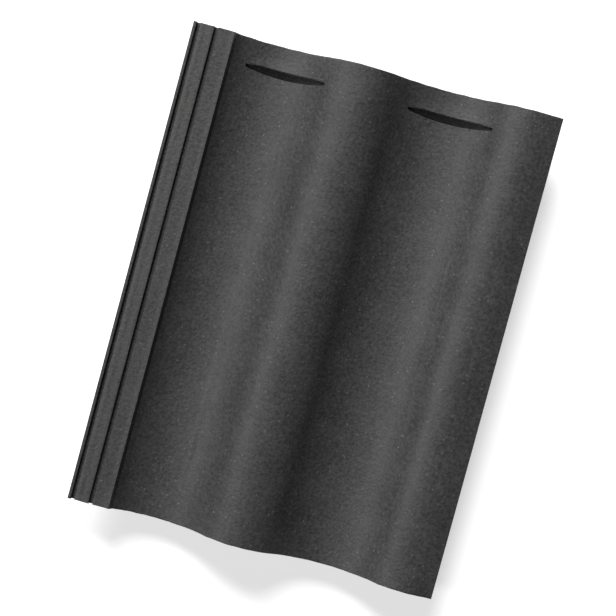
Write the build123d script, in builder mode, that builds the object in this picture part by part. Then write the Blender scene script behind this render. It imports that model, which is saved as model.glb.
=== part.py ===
from build123d import *
import os
from math import acos, asin, atan, cos, degrees, radians, sin, tan

os.makedirs("parts", exist_ok=True)

# Double-S interlocking concrete roof tile, in millimetres.
# X runs across from the underlap to the overlap, Y runs up the slope to the head, Z is up.
# The section is drawn from the underlap's outer edge, with height 0 at the bottom of a pan.

# Overall sizes
tile_length = 420.0
cover_width = 300.0
body_thickness = 12.5

# Wave of the upper surface: two pans and two rolls in each cover width
wave_height = 29.0
overlap_roll_height = 27.0
roll_spread = 62.4
pan_offset = 75.1

# Far side of the overlap roll, which runs out straight to the edge
shoulder_run = 15.0
shoulder_slope = 15.0

# Underlap at the left edge: lip, outer groove, middle rib, inner groove, inner rib
shelf_height = 16.5
shelf_thickness = 13.0
lip_width = 2.8
outer_groove_width = 3.2
middle_rib_width = 12.5
inner_groove_width = 3.6
inner_rib_width = 14.4
groove_depth = 4.5
groove_draft = 4.0
rib_rounding = 0.5
step_run = 2.0

# Room between a tile's overlap and its neighbour's underlap
lock_gap = 0.5

# Rain stop across each pan, near the head: a low brow with a scooped slot on its foot side
# It starts and ends at shares of the slope that the pan has at its edges
stop_setback = 20.8
stop_start_1 = -0.52
stop_end_1 = 1.05
stop_start_2 = -0.68
stop_end_2 = 0.95
brow_height = 0.6
brow_slope = 3.0
brow_root = 0.4
scoop_slope = 41.0
scoop_width = 6.9
scoop_end_width = 2.2
scoop_end_setback = 1.6
scoop_bow = 2.0
scoop_headroom = 15.0

# Underside: a nib under each pan and two weather bars across the foot
foot_depth = 10.0
nib_width = 28.0
nib_length = 16.0
nib_setback = 14.0
nib_draft = 8.0
bar_thickness = 8.0
bar_setback = 6.0
bar_spacing = 26.0
bar_margin = 6.0

# Rounding of the cut edges at the head and the foot
end_rounding = 1.0

# Arcs of the wave: a pan arc and a roll arc fill half a pitch and meet at one slope
half_pitch = cover_width / 4
turn = 2 * degrees(atan(wave_height / half_pitch))
turn_sin = sin(radians(turn))
turn_rise = 1 - cos(radians(turn))
roll_radius = roll_spread / 2 / turn_sin
pan_radius = half_pitch / turn_sin - roll_radius
overlap_radius = overlap_roll_height / turn_rise - pan_radius
shoulder_radius = shoulder_run / sin(radians(shoulder_slope))

pan_1 = pan_offset
roll_1 = pan_1 + half_pitch
pan_2 = roll_1 + half_pitch
roll_2 = pan_2 + (pan_radius + overlap_radius) * turn_sin

# Underlap edges from the left, and how far its drafted walls lean in
outer_groove = lip_width
middle_rib = outer_groove + outer_groove_width
inner_groove = middle_rib + middle_rib_width
inner_rib = inner_groove + inner_groove_width
step = inner_rib + inner_rib_width
pan_edge = step + step_run
draft = tan(radians(groove_draft))
groove_lean = draft * groove_depth
groove_floor = shelf_height - groove_depth
shelf_bottom = shelf_height - shelf_thickness

# The overlap seats in the neighbour's underlap, one cover width further on
tile_width = cover_width + inner_rib - lock_gap
lock_roof = shelf_height + lock_gap
lock_tip = groove_floor + lock_gap
tip_lean = draft * (groove_depth - lock_gap)
roof_lean = draft * lock_gap
roll_roof = overlap_roll_height - body_thickness

# Levels and ends
rest_depth = body_thickness + foot_depth
scoop_top = wave_height + scoop_headroom
head_end = tile_length / 2
foot_end = -tile_length / 2


def cross_plane(y):
    """Section plane at y, with its origin over the tile's left edge at the level of the pans."""
    return Plane((-tile_width / 2, y, rest_depth), x_dir=(1, 0, 0), z_dir=(0, -1, 0))


def pan_arc(middle, start, end, below=0.0, drop=0.0):
    """Arc of a pan, with angles counted from straight down towards the overlap."""
    return CenterArc((middle, pan_radius - drop), pan_radius + below, start - 90, end - start)


def roll_arc(middle, height, radius, start, end, below=0.0, drop=0.0):
    """Arc of a roll, with angles counted from straight up towards the overlap."""
    return CenterArc((middle, height - radius - drop), radius - below, 90 - start, start - end)


def wave_arcs(drop, start, end):
    """Both pans and both rolls, lowered by drop, from an angle on pan 1 to an angle on roll 2."""
    return [
        pan_arc(pan_1, start, turn, drop=drop),
        roll_arc(roll_1, wave_height, roll_radius, -turn, turn, drop=drop),
        pan_arc(pan_2, -turn, turn, drop=drop),
        roll_arc(roll_2, overlap_roll_height, overlap_radius, -turn, end, drop=drop),
    ]


def pan_point(middle, angle, above=0.0):
    """Point on a pan, or square above it, with the angle counted as for its arc."""
    reach = pan_radius - above
    return (middle + reach * sin(radians(angle)), pan_radius - reach * cos(radians(angle)))


def overlap_rib(left, right):
    """Section of a rib that hangs from the overlap into the groove between left and right."""
    return [
        (cover_width + right - lock_gap + roof_lean, lock_roof),
        (cover_width + right - lock_gap - tip_lean, lock_tip),
        (cover_width + left + lock_gap + tip_lean, lock_tip),
        (cover_width + left + lock_gap - roof_lean, lock_roof),
    ]


pan_start = -degrees(asin((pan_1 - pan_edge) / pan_radius))
heel_start = -degrees(acos((pan_radius - shelf_bottom) / (pan_radius + body_thickness)))

with BuildPart() as roof_tile:
    with BuildSketch(cross_plane(0)) as section:
        with BuildLine():
            Polyline(
                (0, shelf_bottom),
                (0, shelf_height),
                (outer_groove, shelf_height),
                (outer_groove + groove_lean, groove_floor),
                (middle_rib - groove_lean, groove_floor),
                (middle_rib, shelf_height),
                (inner_groove, shelf_height),
                (inner_groove + groove_lean, groove_floor),
                (inner_rib - groove_lean, groove_floor),
                (inner_rib, shelf_height),
                (step, shelf_height),
                pan_point(pan_1, pan_start),
            )
            pan_arc(pan_1, pan_start, turn)
            roll_arc(roll_1, wave_height, roll_radius, -turn, turn)
            pan_arc(pan_2, -turn, turn)
            roll_arc(roll_2, overlap_roll_height, overlap_radius, -turn, 0)
            shoulder = roll_arc(roll_2, overlap_roll_height, shoulder_radius, 0, shoulder_slope)
            edge_drop = (tile_width - (shoulder @ 1).X) * tan(radians(shoulder_slope))
            Polyline(
                shoulder @ 1,
                (tile_width, (shoulder @ 1).Y - edge_drop),
                (tile_width, shelf_height),
                *overlap_rib(inner_groove, inner_rib)[1:],
                *overlap_rib(outer_groove, middle_rib),
                (cover_width - lock_gap, lock_roof),
                (cover_width - 2 * lock_gap, roll_roof),
                (roll_2, roll_roof),
            )
            roll_arc(roll_2, overlap_roll_height, overlap_radius, 0, -turn, below=body_thickness)
            pan_arc(pan_2, turn, -turn, below=body_thickness)
            roll_arc(roll_1, wave_height, roll_radius, turn, -turn, below=body_thickness)
            heel = pan_arc(pan_1, turn, heel_start, below=body_thickness)
            Line(heel @ 1, (0, shelf_bottom))
        make_face()
        top_corners = section.vertices().filter_by(
            lambda corner: abs(corner.Y - shelf_height) < 0.01 and corner.X < pan_edge
        )
        fillet(top_corners, radius=rib_rounding)
    extrude(amount=tile_length / 2, both=True)

    # The brow falls gently to the head, and the slot is scooped down from its crown towards the foot
    crown_y = head_end - stop_setback
    brow_length = (brow_height + brow_root) / sin(radians(brow_slope))
    scoop_length = scoop_width / cos(radians(scoop_slope))
    slot_head_y = crown_y - scoop_end_setback
    slot_apex_y = slot_head_y + scoop_bow
    slot_foot_y = slot_head_y - scoop_end_width
    slot_low_y = crown_y - scoop_width
    for pan, start, end in ((pan_1, stop_start_1, stop_end_1), (pan_2, stop_start_2, stop_end_2)):
        middle = turn * (start + end) / 2
        low = pan_point(pan, turn * start)
        high = pan_point(pan, turn * end)
        crown = pan_point(pan, middle, above=brow_height)
        with BuildSketch(cross_plane(crown_y)):
            with BuildLine():
                ThreePointArc(low, crown, high)
                ThreePointArc(high, pan_point(pan, middle, above=-brow_root), low)
            make_face()
        extrude(amount=brow_length, dir=(0, 1, -tan(radians(brow_slope))))

        with BuildPart() as scoop:
            with BuildSketch(cross_plane(crown_y)):
                with BuildLine():
                    ThreePointArc(low, crown, high)
                    Polyline(high, (high[0], scoop_top), (low[0], scoop_top), low)
                make_face()
            extrude(amount=scoop_length, dir=(0, -1, -tan(radians(scoop_slope))))
            with BuildSketch(Location((-tile_width / 2, 0))):
                left = low[0]
                right = high[0]
                across = crown[0]
                with BuildLine():
                    ThreePointArc((left, slot_head_y), (across, slot_apex_y), (right, slot_head_y))
                    Line((right, slot_head_y), (right, slot_foot_y))
                    ThreePointArc((right, slot_foot_y), (across, slot_low_y), (left, slot_foot_y))
                    Line((left, slot_foot_y), (left, slot_head_y))
                make_face()
            extrude(amount=rest_depth + scoop_top, mode=Mode.INTERSECT)
        add(scoop.part, mode=Mode.SUBTRACT)

    # A nib under each pan hooks over the batten with its upright face towards the foot
    nib_root = rest_depth - body_thickness / 2
    nib_face = head_end - nib_setback - nib_length
    nib_back = head_end - nib_setback
    for pan in (pan_1, pan_2):
        with BuildSketch(Plane.YZ.offset(pan - tile_width / 2)):
            with BuildLine():
                Polyline(
                    (nib_face, 0),
                    (nib_back, 0),
                    (nib_back + nib_root * tan(radians(nib_draft)), nib_root),
                    (nib_face, nib_root),
                    close=True,
                )
            make_face()
        extrude(amount=nib_width / 2, both=True)

    # Weather bars cross the underside at the foot and follow the wave of the tile below
    bar_start = -degrees(asin((pan_1 - pan_edge - bar_margin) / pan_radius))
    bar_end = -degrees(asin((roll_2 - cover_width + bar_margin) / overlap_radius))
    for setback in (bar_setback, bar_setback + bar_spacing):
        with BuildSketch(cross_plane(foot_end + setback + bar_thickness)):
            with BuildLine():
                lower = wave_arcs(rest_depth, bar_start, bar_end)
                upper = wave_arcs(body_thickness / 2, bar_start, bar_end)
                Line(lower[0] @ 0, upper[0] @ 0)
                Line(lower[-1] @ 1, upper[-1] @ 1)
            make_face()
        extrude(amount=bar_thickness)

    # The cut edges of the wave are slightly worn round at both ends
    weather_radii = (pan_radius, roll_radius, overlap_radius, shoulder_radius)
    end_faces = roof_tile.faces().sort_by(Axis.Y)
    end_edges = (end_faces[0].edges() + end_faces[-1].edges()).filter_by(GeomType.CIRCLE)
    wave_edges = end_edges.filter_by(lambda edge: min(abs(edge.radius - r) for r in weather_radii) < 0.01)
    fillet(wave_edges, radius=end_rounding)

roof_tile.part.label = "roof_tile"
export_step(roof_tile.part, "parts/roof_tile.step")
print("tile", round(tile_width, 2), "wide")
print("roll radius", round(roll_radius, 2), "pan radius", round(pan_radius, 2))
print("volume in litres", round(roof_tile.part.volume / 1e6, 3))
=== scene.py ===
import math

import bmesh
import bpy
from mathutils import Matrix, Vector, noise


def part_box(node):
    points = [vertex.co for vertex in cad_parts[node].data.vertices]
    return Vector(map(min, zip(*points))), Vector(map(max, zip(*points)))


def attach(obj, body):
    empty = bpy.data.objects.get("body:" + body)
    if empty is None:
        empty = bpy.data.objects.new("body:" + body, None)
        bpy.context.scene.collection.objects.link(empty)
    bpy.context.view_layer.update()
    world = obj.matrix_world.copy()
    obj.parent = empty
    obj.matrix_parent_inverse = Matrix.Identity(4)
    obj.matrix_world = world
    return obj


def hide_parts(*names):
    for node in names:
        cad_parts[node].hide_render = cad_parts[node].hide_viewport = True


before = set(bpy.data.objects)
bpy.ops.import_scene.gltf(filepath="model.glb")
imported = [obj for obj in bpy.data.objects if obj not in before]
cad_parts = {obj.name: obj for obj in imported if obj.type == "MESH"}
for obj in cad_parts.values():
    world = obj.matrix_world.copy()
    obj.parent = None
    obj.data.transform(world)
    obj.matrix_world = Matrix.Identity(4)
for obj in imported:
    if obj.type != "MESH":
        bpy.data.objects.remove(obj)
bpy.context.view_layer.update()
tileLow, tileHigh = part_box("roof_tile")
mm = 0.001
print("frame loaded")


def srgb(hexCode):
    # a sRGB hex colour as the linear RGBA that the shaders take
    channels = [int(hexCode[i:i + 2], 16) / 255 for i in (1, 3, 5)]
    linear = [c / 12.92 if c <= 0.04045 else ((c + 0.055) / 1.055) ** 2.4 for c in channels]
    return (*linear, 1.0)


def addNode(tree, kind, settings=None, values=None, links=None):
    # one node: settings are its attributes, values its sockets, links its sockets fed by outputs
    node = tree.nodes.new(kind)
    for name, value in (settings or {}).items():
        setattr(node, name, value)
    for name, value in (values or {}).items():
        node.inputs[name].default_value = value
    for name, output in (links or {}).items():
        tree.links.new(output, node.inputs[name])
    return node


def newMaterial(name):
    material = bpy.data.materials.new(name)
    material.use_nodes = True
    material.node_tree.nodes.clear()
    return material, material.node_tree


def link(obj):
    bpy.context.scene.collection.objects.link(obj)
    return obj


# Camera, nearly straight above the tile and turned as in the photograph
shot = {
    "place": (26.55 * mm, 56.3 * mm, 1368.3 * mm),
    "turn": (-1.954, 1.911, 15.123),
    "focalPixels": 1571.4,
    "imageWidth": 616,
    "sensorWidth": 36.0,
    "nearest": 0.05,
}
cameraData = bpy.data.cameras.new("camera")
cameraData.sensor_fit = "HORIZONTAL"
cameraData.sensor_width = shot["sensorWidth"]
cameraData.lens = shot["focalPixels"] * shot["sensorWidth"] / shot["imageWidth"]
cameraData.clip_start = shot["nearest"]
camera = link(bpy.data.objects.new("camera", cameraData))
camera.location = shot["place"]
camera.rotation_euler = [math.radians(a) for a in shot["turn"]]
bpy.context.scene.camera = camera
print("camera set")


# Soft lamps far off, so that the light is even along the tile. Each is placed by how far it leans
# from straight above: towards the underlap, and towards the head.
studio = {
    "lampDistance": 12.0,
    "key": {"leanLeft": 50, "leanHead": 43, "size": 4.2, "level": 2.2},
    "high": {"leanLeft": 18, "leanHead": 46, "size": 4.2, "level": 2.6},
    "left": {"leanLeft": 42, "leanHead": -6, "size": 2.4, "level": 0.42},
    "top": {"leanLeft": 20, "leanHead": -5, "size": 3.6, "level": 0.12},
    "worldLevel": 0.008,
    "backgroundLevel": 1.0,
    "white": "#FFFFFF",
    "floorColour": "#E8E8E8",
    "floorLift": 0.62,
    "floorSize": 6.0,
}


def addLamp(name, leanLeft, leanHead, size, level):
    # level is the light on a surface that faces the lamp, where pi makes white paint fully white
    left, head = math.radians(leanLeft), math.radians(leanHead)
    way = Vector((-math.sin(left) * math.cos(head), math.sin(head), math.cos(left) * math.cos(head)))
    lamp = bpy.data.lights.new(name, "AREA")
    lamp.shape = "DISK"
    lamp.size = size
    lamp.energy = level * math.pi * studio["lampDistance"] ** 2
    holder = link(bpy.data.objects.new(name, lamp))
    holder.location = way * studio["lampDistance"]
    holder.rotation_euler = (-way).to_track_quat("-Z", "Y").to_euler()


for lampName in ("key", "high", "left", "top"):
    addLamp(lampName + "Lamp", **studio[lampName])


def studioAir():
    # white behind the tile for the camera only, so that it doesn't light the tile
    world = bpy.data.worlds.new("studioAir")
    world.use_nodes = True
    tree = world.node_tree
    tree.nodes.clear()
    path = addNode(tree, "ShaderNodeLightPath")
    soft, shown = (
        addNode(
            tree, "ShaderNodeBackground",
            values={"Color": srgb(studio["white"]), "Strength": studio[level]},
        )
        for level in ("worldLevel", "backgroundLevel")
    )
    seen = addNode(
        tree, "ShaderNodeMixShader",
        links={0: path.outputs["Is Camera Ray"], 1: soft.outputs[0], 2: shown.outputs[0]},
    )
    addNode(tree, "ShaderNodeOutputWorld", links={"Surface": seen.outputs[0]})
    return world


def paintedFloor():
    # Matt white studio floor: lifted to white for the camera only, so it keeps the tile's shadow
    material, tree = newMaterial("mattPaintedFloor")
    path = addNode(tree, "ShaderNodeLightPath")
    paint = addNode(tree, "ShaderNodeBsdfDiffuse", values={"Color": srgb(studio["floorColour"])})
    lift = addNode(
        tree, "ShaderNodeEmission",
        values={"Color": srgb(studio["white"]), "Strength": studio["floorLift"]},
    )
    lifted = addNode(tree, "ShaderNodeAddShader", links={0: paint.outputs[0], 1: lift.outputs[0]})
    seen = addNode(
        tree, "ShaderNodeMixShader",
        links={0: path.outputs["Is Camera Ray"], 1: paint.outputs[0], 2: lifted.outputs[0]},
    )
    addNode(tree, "ShaderNodeOutputMaterial", links={"Surface": seen.outputs[0]})
    return material


bpy.context.scene.world = studioAir()
floorMesh = bpy.data.meshes.new("studioFloor")
floorForm = bmesh.new()
bmesh.ops.create_grid(floorForm, x_segments=1, y_segments=1, size=studio["floorSize"] / 2)
floorForm.to_mesh(floorMesh)
floorForm.free()
floor = link(bpy.data.objects.new("studioFloor", floorMesh))
floorMesh.materials.append(paintedFloor())
print("studio lit")


def noiseOf(tree, place, size, **values):
    # noise with features of about this size; values are more of the node's sockets
    node = addNode(
        tree, "ShaderNodeTexNoise",
        values={"Scale": 1 / size, **values}, links={"Vector": place},
    )
    return node.outputs["Fac"]


def cellsOf(tree, place, spacing):
    # cells about this far apart, each with its own random colour
    return addNode(
        tree, "ShaderNodeTexVoronoi", values={"Scale": 1 / spacing}, links={"Vector": place}
    )


def ramp(tree, factor, positions, colours):
    # colour ramp over a factor, between two hex colours
    node = addNode(tree, "ShaderNodeValToRGB", links={"Fac": factor})
    for element, position, colour in zip(node.color_ramp.elements, positions, colours):
        element.position = position
        element.color = srgb(colour)
    return node.outputs["Color"]


def multiply(tree, first, second):
    return addNode(tree, "ShaderNodeMath", {"operation": "MULTIPLY"}, links={0: first, 1: second})


def tint(tree, base, share, colour):
    # a hex colour over the base; the colour mix has its factor at 0 and its two colours at 6 and 7
    node = addNode(
        tree, "ShaderNodeMix", {"data_type": "RGBA"}, {7: srgb(colour)}, {0: share, 6: base}
    )
    return node.outputs[2]


def relief(tree, height, depth, under=None):
    # bump of one depth, on top of the bump under it
    links = {"Height": height}
    if under:
        links["Normal"] = under
    return addNode(tree, "ShaderNodeBump", values={"Distance": depth}, links=links).outputs["Normal"]


# Open pores, as shares of a cell: cells with a random value above closedFrom have none, the
# widest pore reaches widest from its middle, and its wall goes from wallIn to wallOut
pore = {
    "closedFrom": 0.65,
    "widest": 0.3,
    "wallIn": -0.08,
    "wallOut": 0.02,
}


def openPores(tree, cells):
    # height of a face with round pores in part of the cells, each of its own size
    reach = addNode(
        tree, "ShaderNodeMapRange",
        values={"From Min": pore["closedFrom"], "To Max": pore["widest"]},
        links={"Value": cells.outputs["Color"]},
    )
    inside = addNode(
        tree, "ShaderNodeMath", {"operation": "SUBTRACT"},
        links={0: cells.outputs["Distance"], 1: reach.outputs["Result"]},
    )
    wall = addNode(
        tree, "ShaderNodeMapRange",
        values={"From Min": pore["wallIn"], "From Max": pore["wallOut"]},
        links={"Value": inside.outputs[0]},
    )
    return wall.outputs["Result"]


# Concrete of the weather side: through-coloured, rolled smooth while wet and sealed with an acrylic
# coat, so the eye gets a dark satin surface with fine sandy grain, plus a painted highlight of paler
# bands along the rib edges
coated = {
    "dark": "#2F2F2F",
    "pale": "#444444",
    "toneSpan": (0.36, 0.64),
    "speckle": 2.8 * mm,
    "speckleDetail": 3.0,
    "speckleRoughness": 0.6,
    "patch": 26 * mm,
    "patchDetail": 3.0,
    "patchShare": 0.28,
    "grit": "#565655",
    "gritSpacing": 3.6 * mm,
    "gritRim": (0.28, 0.16),
    "gritless": 0.75,
    # painted highlight: the paler colour of the bands along the rib edges
    "rimHighlight": "#4D4D4C",
    "rimHighlightGain": 1.8,
    "grain": 2.2 * mm,
    "grainDetail": 3.0,
    "grainDepth": 0.27 * mm,
    "pitSpacing": 5.5 * mm,
    "pitDepth": 0.12 * mm,
    "streakWidth": 2.6 * mm,
    "streakLength": 55 * mm,
    "streakDetail": 2.0,
    "streakDepth": 0.05 * mm,
    "sandSpan": (0.3, 0.7),
    "roughSpan": (0.47, 0.62),
    "refraction": 1.5,
    "coatWeight": 0.2,
    "coatRoughness": 0.33,
}


def coatedConcrete():
    material, tree = newMaterial("coatedConcrete")
    place = addNode(tree, "ShaderNodeTexCoord").outputs["Object"]
    # painted highlight: how much of the paler band each point near the rib edges gets
    rimHighlightShare = addNode(tree, "ShaderNodeAttribute", {"attribute_name": "rimHighlight"}).outputs["Fac"]

    # sand in the mix, drawn at 2.8 mm because real sand of under 1 mm wouldn't show
    speckle = noiseOf(
        tree, place, coated["speckle"],
        Detail=coated["speckleDetail"], Roughness=coated["speckleRoughness"],
    )
    patch = noiseOf(tree, place, coated["patch"], Detail=coated["patchDetail"])
    blend = addNode(
        tree, "ShaderNodeMix",
        values={"Factor": coated["patchShare"]}, links={"A": speckle, "B": patch},
    )
    tones = (coated["dark"], coated["pale"])
    tone = ramp(tree, blend.outputs["Result"], coated["toneSpan"], tones)

    # a few paler grains that show through the coat
    grains = cellsOf(tree, place, coated["gritSpacing"])
    outer, inner = coated["gritRim"]
    near = addNode(
        tree, "ShaderNodeMapRange",
        values={"From Min": outer, "From Max": inner}, links={"Value": grains.outputs["Distance"]},
    )
    chosen = addNode(
        tree, "ShaderNodeMath", {"operation": "GREATER_THAN"},
        {1: coated["gritless"]}, {0: grains.outputs["Color"]},
    )
    grit = multiply(tree, near.outputs["Result"], chosen.outputs[0]).outputs[0]
    gritty = tint(tree, tone, grit, coated["grit"])

    # painted highlight: the rib edges painted paler where light catches them, split up by the sand
    brokenRimHighlight = multiply(tree, rimHighlightShare, speckle).outputs[0]
    rimHighlightStrength = addNode(
        tree, "ShaderNodeMath", {"operation": "MULTIPLY"}, {1: coated["rimHighlightGain"]}, {0: brokenRimHighlight}
    )
    colour = tint(tree, gritty, rimHighlightStrength.outputs[0], coated["rimHighlight"])
    (sandLow, sandHigh), (smooth, rough) = coated["sandSpan"], coated["roughSpan"]
    roughness = addNode(
        tree, "ShaderNodeMapRange",
        values={"From Min": sandLow, "From Max": sandHigh, "To Min": smooth, "To Max": rough},
        links={"Value": speckle},
    )

    # the fine lines that the roller leaves along the tile, then open pores and grain
    drawn = addNode(
        tree, "ShaderNodeMapping",
        values={"Scale": (1.0, coated["streakWidth"] / coated["streakLength"], 1.0)},
        links={"Vector": place},
    )
    streak = noiseOf(
        tree, drawn.outputs["Vector"], coated["streakWidth"], Detail=coated["streakDetail"]
    )
    pit = openPores(tree, cellsOf(tree, place, coated["pitSpacing"]))
    grain = noiseOf(tree, place, coated["grain"], Detail=coated["grainDetail"])
    bumps = relief(tree, streak, coated["streakDepth"])
    bumps = relief(tree, pit, coated["pitDepth"], bumps)
    bumps = relief(tree, grain, coated["grainDepth"], bumps)
    surface = addNode(
        tree, "ShaderNodeBsdfPrincipled",
        values={
            "IOR": coated["refraction"],
            "Coat Weight": coated["coatWeight"], "Coat Roughness": coated["coatRoughness"],
        },
        links={
            "Base Color": colour, "Roughness": roughness.outputs["Result"],
            "Normal": bumps, "Coat Normal": bumps,
        },
    )
    addNode(tree, "ShaderNodeOutputMaterial", links={"Surface": surface.outputs[0]})
    return material


# Concrete of the underside and the cut ends: the same mix without the coat, pressed on a mould and
# sliced, so the eye gets a dull, greyer and coarser surface with open pores
raw = {
    "dark": "#2F2F2F",
    "pale": "#424241",
    "toneSpan": (0.35, 0.65),
    "grain": 2.8 * mm,
    "grainDetail": 5.0,
    "grainRoughness": 0.6,
    "grainDepth": 0.3 * mm,
    "poreSpacing": 7 * mm,
    "poreDepth": 0.35 * mm,
    "roughness": 0.85,
    "refraction": 1.5,
}


def rawConcrete():
    material, tree = newMaterial("rawConcrete")
    place = addNode(tree, "ShaderNodeTexCoord").outputs["Object"]
    grain = noiseOf(
        tree, place, raw["grain"], Detail=raw["grainDetail"], Roughness=raw["grainRoughness"]
    )
    tone = ramp(tree, grain, raw["toneSpan"], (raw["dark"], raw["pale"]))
    pit = openPores(tree, cellsOf(tree, place, raw["poreSpacing"]))
    bumps = relief(tree, pit, raw["poreDepth"])
    bumps = relief(tree, grain, raw["grainDepth"], bumps)
    surface = addNode(
        tree, "ShaderNodeBsdfPrincipled",
        values={"Roughness": raw["roughness"], "IOR": raw["refraction"]},
        links={"Base Color": tone, "Normal": bumps},
    )
    addNode(tree, "ShaderNodeOutputMaterial", links={"Surface": surface.outputs[0]})
    return material


# The tile's section, in the frame: middles of its pans and rolls, and the radii of their arcs,
# which meet at one slope
wave = {
    "panMiddles": (-85.7 * mm, 64.3 * mm),
    "rollMiddles": (-10.7 * mm, 134.13 * mm),
    "rollHeights": (29 * mm, 27 * mm),
    "rollRadii": (46.38 * mm, 38.69 * mm),
    "panRadius": 65.11 * mm,
    "panLevel": 22.5 * mm,
    "thickness": 12.5 * mm,
    "slope": math.radians(42.28),
}


def waveHeight(x, below):
    # height of the weather side at x, or of the underside where below is the thickness
    for middle in wave["panMiddles"]:
        reach = wave["panRadius"] + below
        if abs(x - middle) <= reach * math.sin(wave["slope"]):
            return wave["panLevel"] + wave["panRadius"] - math.sqrt(reach ** 2 - (x - middle) ** 2)
    for middle, height, radius in zip(wave["rollMiddles"], wave["rollHeights"], wave["rollRadii"]):
        reach = radius - below
        if abs(x - middle) <= reach * math.sin(wave["slope"]):
            return wave["panLevel"] + height - radius + math.sqrt(reach ** 2 - (x - middle) ** 2)
    return None


# Turns are in degrees
tileForm = {
    # size of the mesh, and the gaps below which its points are one
    "columnWidth": 2.6 * mm,
    "rowLength": 3.0 * mm,
    "mergeGap": 0.001 * mm,
    "sliverGap": 0.04 * mm,
    "cutGap": 0.0001 * mm,
    "flatTurn": 0.2,
    "sharpTurn": 28,
    "arcSlack": 0.13 * mm,
    # rounding of the long edges at the tile's two sides
    "edgeRound": 0.9 * mm,
    "edgeSteps": 3,
    "edgeTurn": 45,
    "edgeLength": 100 * mm,
    "edgeSlack": 0.01 * mm,
    # relief of the coated face: long hollows along the tile, and sand under the coat
    "hollowWidth": 24 * mm,
    "hollowLength": 110 * mm,
    "hollowDepth": 0.12 * mm,
    "sandWidth": 6.5 * mm,
    "sandDepth": 0.07 * mm,
    # relief of the mould side and of the cut ends
    "mouldWidth": 11 * mm,
    "mouldDepth": 0.22 * mm,
    "cutWidth": 8 * mm,
    "cutDepth": 0.45 * mm,
    # how far the noise is stretched to use the whole depth, how far from the ends the cut reaches,
    # and the level below which the tile rests on the floor and stays flat
    "noiseGain": 1.6,
    "endReach": 1.1 * mm,
    "restLevel": 0.3 * mm,
    # the coat is on faces that look upwards at least this much, and on the walls of the underlap's
    # grooves, from the left edge and below the shelf, but not on the cut ends
    "coatedUp": 0.12,
    "endward": 0.5,
    "grooveSpan": (1 * mm, 37 * mm),
    "grooveDepth": 5 * mm,
    "shelfLevel": 39.0 * mm,
    # bands along the ribs painted paler as a highlight where light catches the rib edges, from the
    # left edge, and half their width
    "rimHighlightLines": (7.4 * mm, 14.4 * mm, 34.8 * mm),
    "rimHighlightWidth": 3.0 * mm,
    "rimHighlightDepth": 1.2 * mm,
}


def share(point, width, length):
    # smooth noise from 0 to 1, with its own width across the tile and length along it
    at = Vector((point.x / width, point.y / length, point.z / width))
    height = noise.noise(at, noise_basis="PERLIN_ORIGINAL") * tileForm["noiseGain"]
    return 0.5 + 0.5 * max(-1.0, min(1.0, height))


def roundLongEdges(form):
    # the moulded edges at the tile's two sides aren't knife sharp
    slack = tileForm["edgeSlack"]

    def onSide(edge):
        a, b = (v.co for v in edge.verts)
        onFace = min(abs(a.x - tileLow.x), abs(a.x - tileHigh.x)) < slack
        along = abs(a.x - b.x) < slack and abs(a.y - b.y) > tileForm["edgeLength"]
        return onFace and along and edge.calc_face_angle(0) > math.radians(tileForm["edgeTurn"])

    chosen = [edge for edge in form.edges if onSide(edge)]
    bmesh.ops.bevel(
        form, geom=chosen, offset=tileForm["edgeRound"], segments=tileForm["edgeSteps"],
        profile=0.5, affect="EDGES", material=-1,
    )
    print("long edges rounded:", len(chosen))


def cutAcross(form, normal, low, high, spacing):
    # even parallel cuts through the whole form, so that the relief has points to move
    cuts = round((high - low) / spacing)
    for i in range(1, cuts):
        at = Vector(normal) * (low + (high - low) * i / cuts)
        everything = form.verts[:] + form.edges[:] + form.faces[:]
        bmesh.ops.bisect_plane(
            form, geom=everything, dist=tileForm["cutGap"], plane_co=at, plane_no=normal
        )


def roundArcs(form):
    # the cuts leave points on flat facets, so each goes onto the true arc
    for vert in form.verts:
        for below in (0.0, wave["thickness"]):
            height = waveHeight(vert.co.x, below)
            if height and abs(vert.co.z - height) < tileForm["arcSlack"]:
                vert.co.z = height
                break


def isCoated(face):
    # the weather side, with the upright walls of the underlap's grooves
    middle = face.calc_center_median()
    near, far = tileForm["grooveSpan"]
    inGroove = (
        near < middle.x - tileLow.x < far
        and middle.z > tileForm["shelfLevel"] - tileForm["grooveDepth"]
        and abs(face.normal.y) < tileForm["endward"]
    )
    return face.normal.z > tileForm["coatedUp"] or inGroove


def markFinish(form):
    # the weather side is coated, the underside and the cut ends are raw, and the rib edges get a
    # painted highlight
    for face in form.faces:
        face.smooth = True
        face.material_index = 0 if isCoated(face) else 1
    # painted highlight: share of the paler band at each point near the rib edges
    rimHighlight = form.verts.layers.float.new("rimHighlight")
    for vert in form.verts:
        if vert.co.z < tileForm["shelfLevel"] - tileForm["rimHighlightDepth"]:
            continue
        for rim in tileForm["rimHighlightLines"]:
            gap = abs(vert.co.x - tileLow.x - rim)
            if gap < tileForm["rimHighlightWidth"]:
                vert[rimHighlight] = max(vert[rimHighlight], 1 - gap / tileForm["rimHighlightWidth"])


def shadeSharp(form):
    for edge in form.edges:
        if edge.is_manifold and edge.calc_face_angle(0) > math.radians(tileForm["sharpTurn"]):
            edge.smooth = False


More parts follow.
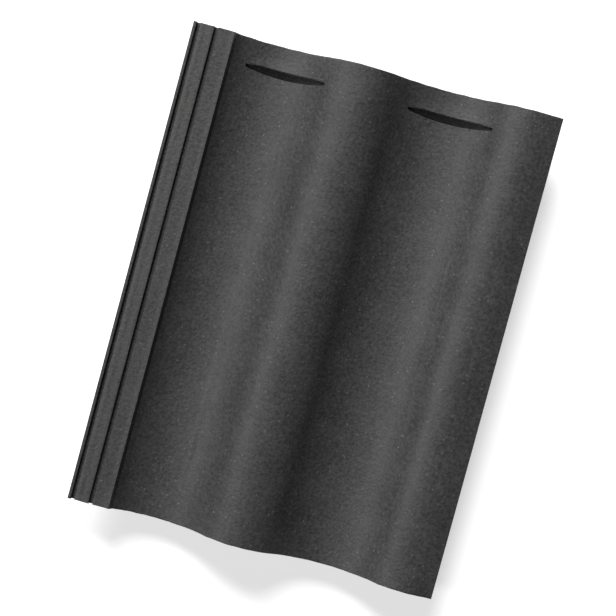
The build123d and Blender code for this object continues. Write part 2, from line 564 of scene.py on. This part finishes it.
def moveInwards(form):
    # relief only takes material away, so the tile stays inside its box
    form.normal_update()
    moves = []
    for vert in form.verts:
        at = vert.co
        onEnd = min(abs(at.y - tileLow.y), abs(at.y - tileHigh.y)) < tileForm["endReach"]
        move = Vector((0, 0, 0))
        if vert.normal.z > tileForm["coatedUp"]:
            hollow = share(at, tileForm["hollowWidth"], tileForm["hollowLength"])
            sand = share(at, tileForm["sandWidth"], tileForm["sandWidth"])
            move -= vert.normal * (tileForm["hollowDepth"] * hollow + tileForm["sandDepth"] * sand)
        elif at.z > tileForm["restLevel"] and not onEnd:
            mould = share(at, tileForm["mouldWidth"], tileForm["mouldWidth"])
            move -= vert.normal * tileForm["mouldDepth"] * mould
        if onEnd:
            inward = -1 if at.y > 0 else 1
            cut = share(at, tileForm["cutWidth"], tileForm["cutWidth"])
            move.y += inward * tileForm["cutDepth"] * cut
        moves.append(move)
    for vert, move in zip(form.verts, moves):
        vert.co += move


def pressTile():
    form = bmesh.new()
    form.from_mesh(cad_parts["roof_tile"].data)
    bmesh.ops.remove_doubles(form, verts=form.verts, dist=tileForm["mergeGap"])
    bmesh.ops.dissolve_limit(
        form, angle_limit=math.radians(tileForm["flatTurn"]), verts=form.verts, edges=form.edges
    )
    roundLongEdges(form)
    cutAcross(form, (0, 1, 0), tileLow.y, tileHigh.y, tileForm["rowLength"])
    cutAcross(form, (1, 0, 0), tileLow.x, tileHigh.x, tileForm["columnWidth"])
    bmesh.ops.remove_doubles(form, verts=form.verts, dist=tileForm["sliverGap"])
    roundArcs(form)
    form.normal_update()
    markFinish(form)
    shadeSharp(form)
    moveInwards(form)
    mesh = bpy.data.meshes.new("pressedTile")
    form.to_mesh(mesh)
    form.free()
    mesh.materials.append(coatedConcrete())
    mesh.materials.append(rawConcrete())
    piece = link(bpy.data.objects.new("pressedTile", mesh))
    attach(piece, "root")
    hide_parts("roof_tile")
    mesh.calc_loop_triangles()
    print("tile pressed:", len(mesh.loop_triangles), "triangles")


pressTile()

bpy.context.scene.view_settings.view_transform = "Standard"
